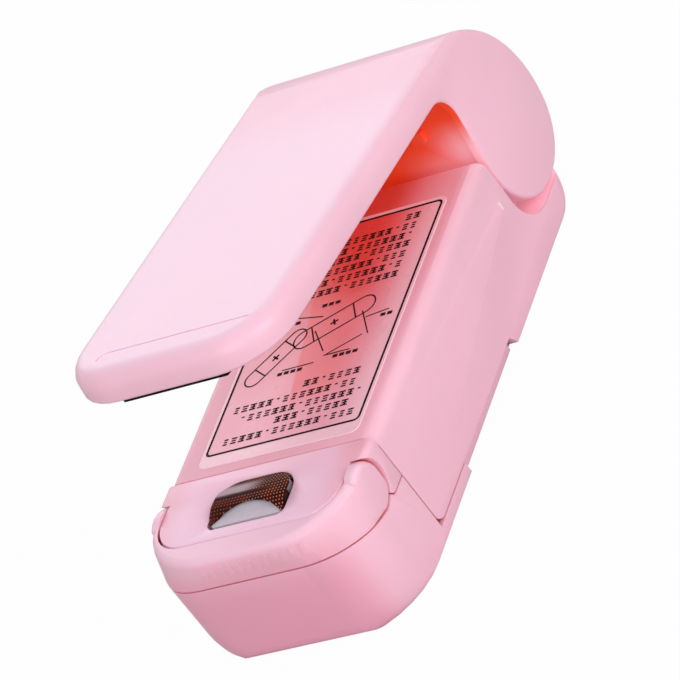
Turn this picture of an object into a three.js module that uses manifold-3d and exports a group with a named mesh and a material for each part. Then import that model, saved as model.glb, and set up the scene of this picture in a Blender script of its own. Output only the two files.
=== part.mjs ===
import * as THREE from 'three';
import { mergeVertices } from 'three/addons/utils/BufferGeometryUtils.js';
import Module from 'manifold-3d';

const wasm = await Module();
wasm.setup();

// Frame: X to the right, Y to the rear, Z up, origin in the middle of the flat underside. Millimetres.

// Body envelope
const bodyHeight = 22.7;
const noseReach = 44.4;
const tailOverhang = 5.6;
const noseCorner = 10;
const tailCorner = 6;
const shoulderAcross = 2.5;
const shoulderDrop = 3;
const noseShoulder = 1.3;
const footEdge = 0.5;
const footRound = 3;
const footCornerRise = 5.5;
const footCornerGrowth = 5;
const topCornerDrop = 6;
const topCornerGrowth = 4;
const shellWall = 1.6;

// Clearances
const seam = 0.3;
const seat = 0.1;
const turnGap = 0.05;
const over = 3;

// Upper case
const coverFront = -24.5;
const skirtHeight = 2.4;
const skirtCorner = 2;
const tailSkirtY = 16.5;
const tailSkirtHeight = 0.2;
const tailSkirtSlope = 1.2;
const cradleFloor = 4.9;
const cradleFillet = 7.5;
const cradleLip = 2.4;
const cheekGap = 0.6;
const earInset = 10.4;
const earWall = 3.6;
const earRadius = 5;
const holdRibWall = 1.4;
const holdRibHalf = 12;
const holdRibFront = -10;
const holdRibRear = 20;
const sideNubSetback = 3.1;
const sideNubZ = 14.3;
const sideNubHeight = 1.5;
const sideNubWidth = 0.5;
const sideNubProud = 0.15;

// Instruction label
const labelShift = 1;
const labelSideMargin = 4.4;
const labelFrontMargin = 1.9;
const labelRearMargin = 7.8;
const labelFilm = 0.15;
const labelCorner = 1.5;

// Heater panel
const lugHeight = 14;
const lugFront = -29.3;
const lugCorner = 1.3;
const apronHeight = 14.2;
const windowLength = 15;
const windowDepth = 9.8;
const windowFrontCorner = 1.5;
const windowRearCorner = 4.5;
const windowY = -32.6;

// Safety guard
const guardPivotY = -32;
const guardPivotZ = 18.7;
const guardLobe = 4.5;
const guardBarBottom = 17.2;
const guardInnerLine = -39.9;
const guardInnerCorner = 6.3;
const guardArmWall = 2.1;
const guardFootEdge = 0.5;
const guardPinRadius = 1;
const guardPinLength = 3.4;
const gripRibWidth = 0.7;
const gripRibHeight = 2;
const gripRibPitch = 1.7;
const gripRibProud = 0.2;
const gripRibCount = 12;
const gripRibTop = 21.1;
const gripRibShift = 2.6;

// Lever
const leverPivotZ = 17.6;
const openAngle = THREE.MathUtils.degToRad(9.4);
const closeAngle = THREE.MathUtils.degToRad(14.6);
const lobeRadius = 12.1;
const backRadius = 19.8;
const backTilt = THREE.MathUtils.degToRad(7.5);
const leverTip = 3.7;
const leverRim = 5.5;
const leverCorner = 10.5;
const leverTopRound = 3;
const leverSideDrop = 0.8;
const leverSideAcross = 2;
const leverRimEdge = 0.6;
const throatFillet = 5;
const leverWall = 1.6;
const barrelSetback = 0.8;
const barrelSlotInset = 5.4;
const barrelSlotRise = 6.5;
const barrelSlotReach = 8.6;
const bossRadius = 4;
const ribInset = 9;
const ribWall = 1.2;
const ribDepth = 2.2;
const ribRear = 15.2;
const thumbRestLength = 6.4;
const thumbGrooveLeft = -11;
const thumbGrooveRight = 16;
const thumbGrooveBend = 1.8;
const thumbGrooveWidth = 0.3;
const thumbGrooveDepth = 0.25;
const barrelStopX = 9.5;
const barrelStopLength = 2.2;
const barrelStopProud = 1.1;
const barrelStopBottom = 7.4;
const barrelStopHeight = 2;

// Sealing pad
const padLength = 20;
const padWidth = 6;
const padProud = 1.2;
const padSetback = 0.35;
const padStopWall = 1.2;
const padStopDepth = 3;

// Hinge pin and lever spring
const hingePinRadius = 1.5;
const hingePinInset = 2.5;
const leverSpringRadius = 2.9;
const leverSpringWire = 0.35;
const leverSpringPitch = 1.25;
const leverSpringCurls = 6;
const leverSpringLeg = 6;

// Heating element on its sprung carriage
const flangeLength = 18.8;
const flangeDepth = 10.4;
const flangeThickness = 2.2;
const neckGap = 0.5;
const neckHeight = 1.1;
const ridgeY = -32.1;
const ridgeTop = 23.1;
const ridgeTopWidth = 2.4;
const ridgeFootWidth = 5.2;
const baseGap = 0.6;
const baseStep = 0.6;
const ribbonWidth = 1.8;
const ribbonThickness = 0.15;
const clothGap = 0.3;
const clothThickness = 0.2;
const clothFront = -36.6;
const clothArchRadius = 9;
const clothArchRise = 3;
const terminalLength = 2.2;
const terminalFront = 2.4;
const terminalRear = 1.2;
const terminalHeight = 1.3;
const heaterTravel = 1.2;
const heaterSpringX = 3.2;
const heaterSpringY = -30.6;
const heaterSpringRadius = 1.9;
const heaterSpringWire = 0.25;
const heaterSpringCurls = 5;
const springPostRadius = 2.6;
const springPostHeight = 11;

// Switch under the carriage
const switchY = -35;
const switchPostLength = 4.4;
const switchPostWidth = 3.2;
const switchPostHeight = 14.5;
const contactThickness = 0.3;
const contactWidth = 2.8;
const contactGap = 1.4;
const fixedContactLength = 5.8;
const movingContactInner = 2;

// Battery bay, for two AA cells side by side
const cellRadius = 7.1;
const cellLength = 50.5;
const nubRadius = 2.6;
const nubLength = 1.2;
const cellGap = 0.6;
const cellSpringLength = 4.2;
const cellSpringRadius = 3.2;
const cellSpringWire = 0.3;
const cellSpringCurls = 2;
const plateThickness = 0.4;
const plateHalf = 5;
const plateFoot = 3;
const plateTab = 2.1;
const bridgeTop = 14;
const bayWall = 1.6;
const bayWallHeight = 17.3;
const cellSideGap = 0.4;
const baySideSpace = 1.9;
const bayRearSpace = 0.6;

// Battery door
const doorThickness = 1.6;
const doorGap = 0.3;
const latchLength = 8;
const latchDepth = 0.7;
const latchHeight = 0.8;
const gripFront = -11;
const gripDepth = 1.3;

// Case screws
const screwHeadRadius = 1.9;
const screwHeadHeight = 1.3;
const screwRadius = 1;
const frontScrewLength = 16;
const rearScrewLength = 9;
const screwSink = 0.4;
const screwHole = 1.2;
const frontScrewInset = 6.6;
const frontScrewY = -27.6;
const frontBossRadius = 2.8;
const frontBossHeight = 12.6;

// Wires
const wireRadius = 0.45;
const wireX = 7.6;
const wireFloor = 8.6;

// Counts and shares
const steepShare = 0.9;
const cornerSteps = 8;
const roundSteps = 7;
const edgeSteps = 3;
const lobeSteps = 28;
const backSteps = 20;
const turnSteps = 48;
const pinSides = 16;
const cellSides = 24;
const screwSides = 12;
const curlSteps = 8;
const springSides = 5;
const wireSides = 8;
const wireSteps = 24;

// Places worked out from the sizes above
const cellX = cellRadius + cellGap / 2;
const bayHalf = cellX + cellRadius + cellSideGap;
const bayFront = coverFront + seam + bayWall;
const plateFront = bayFront + seam;
const cellFront = plateFront + plateThickness + seam;
const sprungCellFront = cellFront + cellSpringLength + seam;
const bridgeFront = sprungCellFront + cellLength + seam;
const bayRear = bridgeFront + plateThickness + seam;
const halfWidth = bayHalf + bayWall + baySideSpace + shellWall;
const bodyWidth = 2 * halfWidth;
const coverRear = bayRear + bayWall + bayRearSpace + shellWall;
const leverPivotY = coverRear + cheekGap + lobeRadius;
const tailReach = leverPivotY + tailOverhang;
const leverReach = leverPivotY - ridgeY + leverTip;
const thumbLine = leverReach - thumbRestLength;
const earInner = halfWidth - earInset;
const ribX = halfWidth - ribInset;
const barrelSlotHalf = halfWidth - barrelSlotInset;
const hingePinLength = bodyWidth - 2 * hingePinInset;
const frontScrewX = halfWidth - frontScrewInset;
const labelHalf = halfWidth - labelSideMargin;
const labelFront = coverFront + labelFrontMargin;
const labelRear = coverRear - labelRearMargin;
const sideNubY = coverRear - sideNubSetback;
const plateTop = backRadius + (backRadius - lobeRadius) * Math.sin(backTilt);
const rimLevel = plateTop - leverRim;
const plateUnder = plateTop - leverWall;
const leverInner = halfWidth - leverWall;
const padTilt = closeAngle - openAngle;
const padFrontReach = leverReach - leverWall - padSetback;
const panelUnder = bodyHeight - shellWall;
const flangeTop = panelUnder - seam;
const flangeBottom = flangeTop - flangeThickness;
const neckTop = flangeTop + neckHeight;
const baseBottom = neckTop + seat;
const ribbonTop = ridgeTop + seat + ribbonThickness;
const clothUnder = ribbonTop + seat;
const wireDropY = bayFront - bayWall - wireRadius - 2 * seam;
const cellZ = doorThickness + seam + cellRadius;
const bossInner = earInner + earWall + cheekGap;
const rearScrewX = earInner + earWall / 2;
const earFoot = cradleFloor - shellWall / 2;
const switchTop = switchPostHeight + seat + contactThickness;
const movingContactBottom = switchTop + contactGap;
const terminalX = windowLength / 2 - baseGap + seat + ribbonThickness / 2;
const terminalTop = flangeBottom - seam;

// Solids from three.js geometry, and back

function solidOf(geometry) {
  const plain = geometry.clone();
  plain.deleteAttribute('normal');
  plain.deleteAttribute('uv');
  const merged = mergeVertices(plain);
  return new wasm.Manifold(new wasm.Mesh({
    numProp: 3,
    vertProperties: new Float32Array(merged.attributes.position.array),
    triVerts: new Uint32Array(merged.index.array),
  }));
}

function geometryOf(solid) {
  const mesh = solid.getMesh();
  const geometry = new THREE.BufferGeometry();
  geometry.setAttribute('position', new THREE.BufferAttribute(new Float32Array(mesh.vertProperties), 3));
  geometry.setIndex(new THREE.BufferAttribute(new Uint32Array(mesh.triVerts), 1));
  geometry.computeVertexNormals();
  return geometry;
}

function joined(solids) {
  return solids.reduce((whole, solid) => whole.add(solid));
}

function cut(solid, cutters) {
  return cutters.reduce((rest, cutter) => rest.subtract(cutter), solid);
}

// Outlines: corners are [a, b] or [a, b, fillet radius]

function filletPoints(before, corner, after, radius) {
  const p = new THREE.Vector2(corner[0], corner[1]);
  const u = new THREE.Vector2(before[0], before[1]).sub(p).normalize();
  const w = new THREE.Vector2(after[0], after[1]).sub(p).normalize();
  const half = Math.acos(THREE.MathUtils.clamp(u.dot(w), -1, 1)) / 2;
  const centre = u.clone().add(w).normalize().multiplyScalar(radius / Math.sin(half)).add(p);
  const start = u.multiplyScalar(radius / Math.tan(half)).add(p).sub(centre);
  const end = w.multiplyScalar(radius / Math.tan(half)).add(p).sub(centre);
  const sweep = Math.atan2(start.cross(end), start.dot(end));
  const points = [];
  for (let step = 0; step <= cornerSteps; step += 1) {
    const point = start.clone().rotateAround(new THREE.Vector2(), sweep * step / cornerSteps).add(centre);
    points.push(point);
  }
  return points;
}

function outline(corners) {
  const points = [];
  corners.forEach((corner, index) => {
    if (corner.length === 2) {
      points.push(new THREE.Vector2(corner[0], corner[1]));
      return;
    }
    const before = corners[(index + corners.length - 1) % corners.length];
    const after = corners[(index + 1) % corners.length];
    points.push(...filletPoints(before, corner, after, corner[2]));
  });
  return points;
}

function arcCorners(centreA, centreB, radius, from, to, steps) {
  const corners = [];
  for (let step = 0; step <= steps; step += 1) {
    const angle = from + (to - from) * step / steps;
    corners.push([centreA + radius * Math.cos(angle), centreB + radius * Math.sin(angle)]);
  }
  return corners;
}

function rectangle(a0, a1, b0, b1, radius) {
  return [[a0, b0, radius], [a1, b0, radius], [a1, b1, radius], [a0, b1, radius]];
}

// Extrusions along Z, X and Y with optional rounded ends

function extruded(corners, from, to, roundIn, roundAlong, steps) {
  const rounded = roundIn > 0;
  const geometry = new THREE.ExtrudeGeometry(new THREE.Shape(outline(corners)), {
    depth: to - from - (rounded ? 2 * roundAlong : 0),
    bevelEnabled: rounded,
    bevelThickness: roundAlong,
    bevelSize: roundIn,
    bevelOffset: -roundIn,
    bevelSegments: steps,
    steps: 1,
  });
  geometry.translate(0, 0, from + (rounded ? roundAlong : 0));
  return geometry;
}

function alongZ(corners, from, to, roundIn = 0, roundAlong = 0, steps = edgeSteps) {
  return solidOf(extruded(corners, from, to, roundIn, roundAlong, steps));
}

function alongX(corners, from, to, roundIn = 0, roundAlong = 0, steps = edgeSteps) {
  const geometry = extruded(corners, from, to, roundIn, roundAlong, steps);
  const turn = new THREE.Matrix4().makeBasis(
    new THREE.Vector3(0, 1, 0), new THREE.Vector3(0, 0, 1), new THREE.Vector3(1, 0, 0));
  return solidOf(geometry.applyMatrix4(turn));
}

function block(x0, x1, y0, y1, z0, z1) {
  const geometry = new THREE.BoxGeometry(x1 - x0, y1 - y0, z1 - z0);
  geometry.translate((x0 + x1) / 2, (y0 + y1) / 2, (z0 + z1) / 2);
  return solidOf(geometry);
}

function rodX(y, z, radius, x0, x1, sides) {
  const geometry = new THREE.CylinderGeometry(radius, radius, x1 - x0, sides);
  geometry.rotateZ(-Math.PI / 2);
  geometry.translate((x0 + x1) / 2, y, z);
  return solidOf(geometry);
}

function rodZ(x, y, radius, z0, z1, sides) {
  const geometry = new THREE.CylinderGeometry(radius, radius, z1 - z0, sides);
  geometry.rotateX(Math.PI / 2);
  geometry.translate(x, y, (z0 + z1) / 2);
  return solidOf(geometry);
}

function bothSides(make) {
  return joined([make(-1), make(1)]);
}

function sideBlock(side, x0, x1, y0, y1, z0, z1) {
  return side > 0 ? block(x0, x1, y0, y1, z0, z1) : block(-x1, -x0, y0, y1, z0, z1);
}

function sideRodX(side, y, z, radius, x0, x1, sides) {
  return side > 0 ? rodX(y, z, radius, x0, x1, sides) : rodX(y, z, radius, -x1, -x0, sides);
}

// Round tube along points, closed at both ends

function tubeGeometry(points, radius, sides) {
  const positions = [];
  const indices = [];
  let normal = null;
  points.forEach((point, index) => {
    const before = points[Math.max(index - 1, 0)];
    const after = points[Math.min(index + 1, points.length - 1)];
    const tangent = after.clone().sub(before).normalize();
    if (normal === null) {
      const steep = Math.abs(tangent.z) > steepShare;
      const helper = steep ? new THREE.Vector3(1, 0, 0) : new THREE.Vector3(0, 0, 1);
      normal = helper.cross(tangent).normalize();
    }
    normal = normal.clone().addScaledVector(tangent, -normal.dot(tangent)).normalize();
    const across = tangent.clone().cross(normal);
    for (let side = 0; side < sides; side += 1) {
      const angle = 2 * Math.PI * side / sides;
      const place = point.clone();
      place.addScaledVector(normal, radius * Math.cos(angle));
      place.addScaledVector(across, radius * Math.sin(angle));
      positions.push(place.x, place.y, place.z);
    }
  });
  const last = points.length - 1;
  const ring = (index, side) => index * sides + side % sides;
  for (let index = 0; index < points.length - 1; index += 1) {
    for (let side = 0; side < sides; side += 1) {
      indices.push(ring(index, side), ring(index, side + 1), ring(index + 1, side + 1));
      indices.push(ring(index, side), ring(index + 1, side + 1), ring(index + 1, side));
    }
  }
  for (let side = 1; side < sides - 1; side += 1) {
    indices.push(0, side + 1, side);
    indices.push(ring(last, 0), ring(last, side), ring(last, side + 1));
  }
  const geometry = new THREE.BufferGeometry();
  geometry.setAttribute('position', new THREE.BufferAttribute(new Float32Array(positions), 3));
  geometry.setIndex(indices);
  return geometry;
}

// Coil about the Z axis from height 0, each end running straight along the axis for one wire diameter

function coilSpring(name, radius, wire, length, curls) {
  const straight = 2 * wire;
  const pitch = (length - 2 * straight - 2 * wire) / curls;
  const points = [new THREE.Vector3(radius, 0, 0), new THREE.Vector3(radius, 0, straight)];
  for (let step = 1; step <= curls * curlSteps; step += 1) {
    const angle = 2 * Math.PI * step / curlSteps;
    const rise = straight + wire + pitch * step / curlSteps;
    points.push(new THREE.Vector3(radius * Math.cos(angle), radius * Math.sin(angle), rise));
  }
  points.push(new THREE.Vector3(radius, 0, length - straight + wire / 2));
  points.push(new THREE.Vector3(radius, 0, length));
  reportLeastGap(name, points, wire, pitch);
  return tubeGeometry(points, wire, springSides);
}

function reportLeastGap(name, points, wire, pitch) {
  let least = Infinity;
  points.forEach((point, index) => {
    points.slice(index + curlSteps - 2).forEach((other) => {
      least = Math.min(least, point.distanceTo(other));
    });
  });
  console.log(`${name}: least gap between curls ${(Math.min(least, pitch) - 2 * wire).toFixed(2)} mm`);
}

// Envelopes shared by the mouldings

function bodyPlan(inset, growth = 0) {
  const half = halfWidth - inset;
  const front = inset - noseReach;
  const rear = tailReach - inset;
  return [
    [-half, front, noseCorner - inset + growth],
    [half, front, noseCorner - inset + growth],
    [half, rear, tailCorner - inset + growth],
    [-half, rear, tailCorner - inset + growth],
  ];
}

// The corners widen towards the foot and the top: each level is [height, inset, corner growth]

function stacked(levels) {
  const points = [];
  levels.forEach(([height, inset, growth]) => {
    outline(bodyPlan(inset, growth)).forEach((point) => {
      points.push([Math.fround(point.x), Math.fround(point.y), height]);
    });
  });
  return wasm.Manifold.hull(points);
}

function footLevels(inset, edge) {
  const levels = [[0, inset + edge, footCornerGrowth]];
  for (let step = 1; step <= roundSteps; step += 1) {
    const angle = Math.PI / 2 * step / roundSteps;
    levels.push([footCornerRise * (1 - Math.cos(angle)), inset, footCornerGrowth * (1 - Math.sin(angle))]);
  }
  return levels;
}

function topGrowth(height) {
  return topCornerGrowth * (height - bodyHeight + topCornerDrop) / topCornerDrop;
}

function openBody(inset, edge) {
  const top = bodyHeight + over;
  return stacked([...footLevels(inset, edge), [bodyHeight - topCornerDrop, inset, 0],
    [top, inset, topGrowth(top)]]);
}

function footProfile(inset) {
  const front = inset - noseReach;
  const rear = tailReach - inset;
  return [
    [front, inset, footRound - inset],
    [rear, inset, footRound - inset],
    [rear, bodyHeight + over],
    [front, bodyHeight + over],
  ];
}

function bodyEnvelope(inset, across = shoulderAcross, drop = shoulderDrop) {
  const levels = [...footLevels(inset, footEdge), [bodyHeight - topCornerDrop, inset, 0]];
  for (let step = 0; step <= roundSteps; step += 1) {
    const angle = Math.PI / 2 * step / roundSteps;
    const height = bodyHeight - inset - (drop - inset / 2) * (1 - Math.sin(angle));
    levels.push([height, inset + (across - inset / 2) * (1 - Math.cos(angle)), topGrowth(height)]);
  }
  const ends = alongX(footProfile(inset), -bodyWidth, bodyWidth);
  return stacked(levels).intersect(ends);
}

function noseEnvelope(inset) {
  return bodyEnvelope(inset, noseShoulder, noseShoulder);
}

// The guard's side view: a bar with a level top and a round lobe that stands a little above it

function guardSideProfile(grow, top) {
  const radius = guardLobe + grow;
  const front = -noseReach - over;
  const towardTop = Math.PI - Math.asin(THREE.MathUtils.clamp((top - guardPivotZ) / radius, 0, 1));
  return [
    [front, guardBarBottom - grow],
    [-noseReach, guardBarBottom - grow],
    ...arcCorners(guardPivotY, guardPivotZ, radius, -Math.PI / 2, towardTop, lobeSteps / 2),
    [front, top],
  ];
}

// The guard turns about a solid of revolution, so its inside and the panel follow the same profile

function guardCore(shrink) {
  const end = halfWidth - guardArmWall - shrink;
  const corner = guardInnerCorner;
  const straight = end - corner;
  const profile = [new THREE.Vector2(0, -end)];
  const half = [];
  for (let step = 0; step <= cornerSteps; step += 1) {
    const angle = Math.PI / 2 * step / cornerSteps;
    const x = straight + corner * Math.cos(angle);
    const y = guardInnerLine + corner - corner * Math.sin(angle);
    half.push(new THREE.Vector2(Math.hypot(y - guardPivotY, bodyHeight - guardPivotZ) - shrink, x));
  }
  half.forEach((point) => profile.push(new THREE.Vector2(point.x, -point.y)));
  half.reverse().forEach((point) => profile.push(point));
  profile.push(new THREE.Vector2(0, end));
  const geometry = new THREE.LatheGeometry(profile, turnSteps);
  geometry.rotateZ(-Math.PI / 2);
  geometry.translate(0, guardPivotY, guardPivotZ);
  return solidOf(geometry);
}

function ahead(y) {
  return block(-bodyWidth, bodyWidth, -noseReach - over, y, -over, bodyHeight + over);
}

function behind(y) {
  return block(-bodyWidth, bodyWidth, y, tailReach + over, -over, bodyHeight + over);
}

function above(z) {
  return block(-bodyWidth, bodyWidth, -noseReach - over, tailReach + over, z, bodyHeight + over);
}

function below(z) {
  return block(-bodyWidth, bodyWidth, -noseReach - over, tailReach + over, -over, z);
}

// Upper case: roof over the cells, side skirts and the cradle below the hinge

function coverProfile() {
  return [
    [coverFront, skirtHeight, skirtCorner],
    [tailSkirtY, skirtHeight],
    [tailSkirtY + tailSkirtSlope, tailSkirtHeight],
    [tailReach + over, tailSkirtHeight],
    [tailReach + over, cradleFloor],
    [coverRear, cradleFloor, cradleFillet],
    [coverRear, bodyHeight, cradleLip],
    [coverFront, bodyHeight + over],
  ];
}

function coverHollow() {
  const rear = coverRear - shellWall;
  const floor = cradleFloor - shellWall;
  const profile = alongX([
    [coverFront - over, -over],
    [tailReach + over, -over],
    [tailReach + over, floor],
    [rear, floor, cradleFillet + shellWall],
    [rear, panelUnder],
    [coverFront - over, panelUnder],
  ], shellWall - halfWidth, halfWidth - shellWall);
  const foot = openBody(shellWall, 0).intersect(below(footRound)).intersect(ahead(tailReach - footRound));
  return profile.intersect(bodyEnvelope(shellWall).add(foot));
}

function hingeEar(side) {
  const corners = [
    [leverPivotY - earRadius, earFoot],
    [leverPivotY + earRadius, earFoot],
    ...arcCorners(leverPivotY, leverPivotZ, earRadius, 0, Math.PI, lobeSteps / 2),
  ];
  const leg = alongX(corners, side * rearScrewX - earWall / 2, side * rearScrewX + earWall / 2);
  const top = screwSink + rearScrewLength + seam;
  return leg.subtract(rodZ(side * rearScrewX, leverPivotY, screwHole, -over, top, screwSides));
}

function sideNub(side) {
  const front = sideNubY - sideNubWidth / 2;
  const foot = sideNubZ - sideNubHeight / 2;
  return sideBlock(side, halfWidth - shellWall / 2, halfWidth + sideNubProud, front, front + sideNubWidth,
    foot, foot + sideNubHeight);
}

function makeUpperCase() {
  const shell = bodyEnvelope(0)
    .intersect(alongX(coverProfile(), -halfWidth - over, halfWidth + over))
    .subtract(coverHollow());
  const ribs = [holdRibFront, holdRibRear].map((y) => block(-holdRibHalf, holdRibHalf, y, y + holdRibWall,
    cellZ + cellRadius + seam, panelUnder + shellWall / 2));
  const nubs = bothSides(sideNub);
  const whole = joined([shell, ...ribs, bothSides(hingeEar), nubs]);
  const boreRadius = hingePinRadius + turnGap;
  const pinBore = rodX(leverPivotY, leverPivotZ, boreRadius, -halfWidth + over, halfWidth - over, pinSides);
  const screwBores = bothSides((side) => rodZ(side * rearScrewX, leverPivotY, screwHole, -over, cradleFloor,
    screwSides));
  return cut(whole, [pinBore, screwBores]);
}

function makeLabel() {
  return alongZ(rectangle(labelShift - labelHalf, labelShift + labelHalf, labelFront, labelRear, labelCorner),
    bodyHeight, bodyHeight + labelFilm);
}

// Heater panel: flat top with the window, a curved apron under the guard and two lugs on the sides

function guardSpace() {
  const sweep = alongX(guardSideProfile(seam, bodyHeight + over), -bodyWidth, bodyWidth);
  return sweep.subtract(guardCore(seam));
}

function inWindow(gap, from, to) {
  const half = windowLength / 2 - gap;
  const front = windowY - windowDepth / 2 + gap;
  const rear = windowY + windowDepth / 2 - gap;
  return alongZ([
    [-half, front, windowFrontCorner - gap],
    [half, front, windowFrontCorner - gap],
    [half, rear, windowRearCorner - gap],
    [-half, rear, windowRearCorner - gap],
  ], from, to);
}

function lugs(grow) {
  const rear = coverFront - seam;
  return alongX([
    [lugFront - grow, lugHeight - grow, lugCorner + grow],
    [rear + grow, lugHeight - grow],
    [rear + grow, bodyHeight + over],
    [guardPivotY, bodyHeight + over],
    [guardPivotY, guardPivotZ],
    [lugFront - grow, guardPivotZ],
  ], -bodyWidth, bodyWidth);
}

function makeHeaterPanel() {
  const rear = coverFront - seam;
  const core = guardCore(seam).intersect(ahead(guardPivotY + guardLobe)).intersect(above(apronHeight));
  const inside = halfWidth - guardArmWall - seam - shellWall;
  const frontHollow = guardCore(seam + shellWall);
  const rearHollow = block(-inside, inside, guardPivotY, rear + over, -over, bodyHeight);
  const hollow = frontHollow.add(rearHollow).intersect(below(panelUnder));
  const boss = bothSides((side) => rodZ(side * frontScrewX, frontScrewY, frontBossRadius,
    frontBossHeight + seam, panelUnder + shellWall / 2, pinSides));
  const shell = cut(core.add(lugs(0)).intersect(noseEnvelope(0)), [guardSpace(), hollow]).add(boss);
  const heaterWindow = inWindow(0, panelUnder - over, bodyHeight + over);
  const pinBore = rodX(guardPivotY, guardPivotZ, guardPinRadius + turnGap, -halfWidth, halfWidth, pinSides);
  const screwBores = bothSides((side) => rodZ(side * frontScrewX, frontScrewY, screwHole,
    -over, screwSink + frontScrewLength + seam, screwSides));
  const barrier = ahead(rear);
  return cut(shell.intersect(barrier), [heaterWindow, pinBore, screwBores]);
}

// Safety guard: bail over the nose that swings up above the heater

function gripRib(index) {
  const x = gripRibShift + (index - (gripRibCount - 1) / 2) * gripRibPitch;
  return block(x - gripRibWidth / 2, x + gripRibWidth / 2, -noseReach - over,
    guardArmWall - noseReach, gripRibTop - gripRibHeight, gripRibTop);
}

function guardTopProfile() {
  const [frontFoot, , ...round] = guardSideProfile(0, bodyHeight);
  const rear = guardPivotY + guardLobe;
  return [
    [frontFoot[0], lugHeight - over],
    [rear, lugHeight - over],
    ...round.slice(lobeSteps / 4),
  ];
}

function makeSafetyGuard() {
  const arms = openBody(0, 0).intersect(above(lugHeight)).intersect(behind(noseCorner - noseReach));
  const sideView = alongX(guardSideProfile(0, bodyHeight), -halfWidth, halfWidth, guardFootEdge,
    guardFootEdge);
  const topView = alongX(guardTopProfile(), -halfWidth, halfWidth, noseShoulder, noseShoulder, roundSteps);
  const body = noseEnvelope(0).add(arms).intersect(sideView).intersect(topView)
    .subtract(guardCore(0))
    .subtract(block(-halfWidth + guardArmWall, halfWidth - guardArmWall, guardPivotY - guardLobe / 2,
      tailReach, -over, bodyHeight + over));
  const ribs = [];
  for (let index = 0; index < gripRibCount; index += 1) {
    ribs.push(gripRib(index));
  }
  const bores = bothSides((side) => sideRodX(side, guardPivotY, guardPivotZ, guardPinRadius + turnGap,
    halfWidth - guardArmWall - over, halfWidth - guardArmWall / 2 + seat, pinSides));
  const grip = joined(ribs).intersect(openBody(-gripRibProud, 0));
  return body.add(grip).subtract(bores);
}

function makeGuardPin(side) {
  const outer = halfWidth - guardArmWall / 2;
  return sideRodX(side, guardPivotY, guardPivotZ, guardPinRadius, outer - guardPinLength, outer, pinSides);
}

// Lower case: nose, bay walls, posts and the rim round the battery door

function makeLowerCase() {
  const noseRear = coverFront - seam;
  const noseWalls = noseEnvelope(0).intersect(ahead(noseRear)).intersect(below(guardBarBottom));
  const guardCut = alongX(guardSideProfile(seam, bodyHeight + over), -bodyWidth, bodyWidth);
  const nose = cut(noseWalls, [noseEnvelope(shellWall), guardCut, lugs(seam)]);
  const rimHeight = skirtHeight - seam;
  const frontRim = noseEnvelope(0).intersect(below(rimHeight)).intersect(behind(noseRear - over))
    .intersect(ahead(tailSkirtY));
  const tailRim = openBody(shellWall + seam, 0).intersect(below(rimHeight)).intersect(behind(noseRear - over))
    .intersect(ahead(tailReach - footRound - seam));
  const bayOuter = bayHalf + bayWall;
  const bay = block(-bayOuter, bayOuter, bayFront - bayWall, bayRear + bayWall, 0, bayWallHeight)
    .subtract(block(-bayHalf, bayHalf, bayFront, bayRear, -over, bayWallHeight + over));
  const posts = joined([
    ...[-heaterSpringX, heaterSpringX].map((x) => rodZ(x, heaterSpringY, springPostRadius, shellWall / 2,
      springPostHeight, pinSides)),
    ...[-frontScrewX, frontScrewX].map((x) => rodZ(x, frontScrewY, frontBossRadius, shellWall / 2,
      frontBossHeight, pinSides)),
    block(-switchPostLength / 2, switchPostLength / 2, switchY - switchPostWidth / 2,
      switchY + switchPostWidth / 2, shellWall / 2, switchPostHeight),
  ]);
  const doorWay = block(-bayHalf, bayHalf, bayFront, bayRear, -over, skirtHeight);
  const grips = bothSides((side) => sideBlock(side, halfWidth - gripDepth, halfWidth + over, gripFront,
    tailSkirtY + over, -over, skirtHeight + over));
  const pockets = bothSides((side) => sideBlock(side, bayHalf - latchDepth, bayHalf + latchDepth + seam,
    (bayFront + bayRear - latchLength) / 2 - seam, (bayFront + bayRear + latchLength) / 2 + seam,
    -over, doorThickness + seam));
  const holes = joined([
    ...[-frontScrewX, frontScrewX].map((x) => screwPassage(x, frontScrewY, frontBossHeight)),
    ...[-rearScrewX, rearScrewX].map((x) => screwPassage(x, leverPivotY, skirtHeight)),
  ]);
  return cut(joined([nose, frontRim, tailRim, bay, posts]), [doorWay, grips, pockets, holes]);
}

function screwPassage(x, y, top) {
  const head = rodZ(x, y, screwHeadRadius + seam, -over, screwSink + screwHeadHeight + seat, screwSides);
  const shank = rodZ(x, y, screwHole, -over, top + over, screwSides);
  return head.add(shank);
}

function makeScrew(x, y, length) {
  const head = rodZ(x, y, screwHeadRadius, screwSink, screwSink + screwHeadHeight, screwSides);
  const shank = rodZ(x, y, screwRadius, screwSink + screwHeadHeight / 2, screwSink + length, screwSides);
  return head.add(shank);
}

function makeBatteryDoor() {
  const half = bayHalf - doorGap;
  const plate = block(-half, half, bayFront + doorGap, bayRear - doorGap, 0, doorThickness);
  const middle = (bayFront + bayRear) / 2;
  const latches = bothSides((side) => sideBlock(side, half - latchDepth, half + latchDepth,
    middle - latchLength / 2, middle + latchLength / 2, doorThickness - latchHeight, doorThickness));
  return plate.add(latches);
}

// Cells and their contacts

function makeCell(side, front, nubForward) {
  const body = cellLength - nubLength;
  const profile = [
    new THREE.Vector2(0, 0),
    new THREE.Vector2(cellRadius - seat, 0),
    new THREE.Vector2(cellRadius, seat),
    new THREE.Vector2(cellRadius, body - seat),
    new THREE.Vector2(cellRadius - seat, body),
    new THREE.Vector2(nubRadius, body),
    new THREE.Vector2(nubRadius, cellLength),
    new THREE.Vector2(0, cellLength),
  ];
  const geometry = new THREE.LatheGeometry(profile, cellSides);
  if (nubForward) {
    geometry.rotateX(Math.PI);
    geometry.translate(0, cellLength, 0);
  }
  geometry.translate(side * cellX, front, cellZ);
  return geometry;
}

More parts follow.
